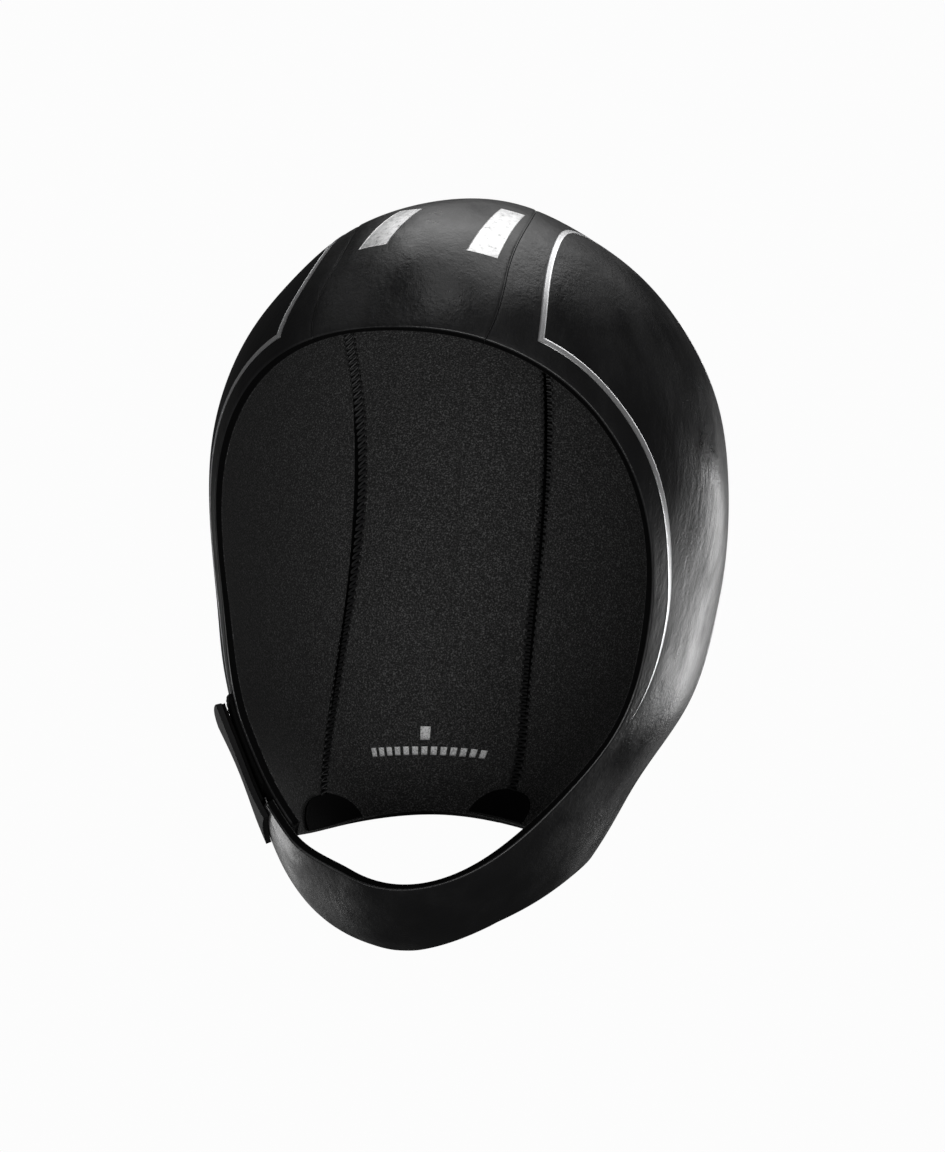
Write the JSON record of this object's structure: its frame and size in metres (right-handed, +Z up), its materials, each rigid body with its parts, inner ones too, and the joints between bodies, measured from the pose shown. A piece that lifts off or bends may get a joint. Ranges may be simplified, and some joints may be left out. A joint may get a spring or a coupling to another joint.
{
  "type": "neoprene skull cap",
  "caption": "Close-fitting neoprene winter cap open at the face and neck, with a centre panel, side panels and a hook-and-loop chin strap",
  "frame": {"origin": "highest point of the lining inside the crown, where the cap sits on the head", "axes": "+Z up through the crown, -Y out of the face opening, +X to the wearer's left"},
  "size_m": [0.1664, 0.1909, 0.2404],
  "materials": {
    "neoprene": "satin smooth skin, knit lining",
    "tab_cloth": "matt",
    "hook_cloth": "matt pile",
    "patch_cloth": "matt"
  },
  "bodies": {
    "root": {"centre_panel": "neoprene", "left_side_panel": "neoprene", "right_side_panel": "neoprene", "closure_tab": "tab_cloth", "hook_patch": "hook_cloth", "loop_patch": "hook_cloth", "left_nape_patch": "patch_cloth", "right_nape_patch": "patch_cloth"}
  },
  "joints": []
}
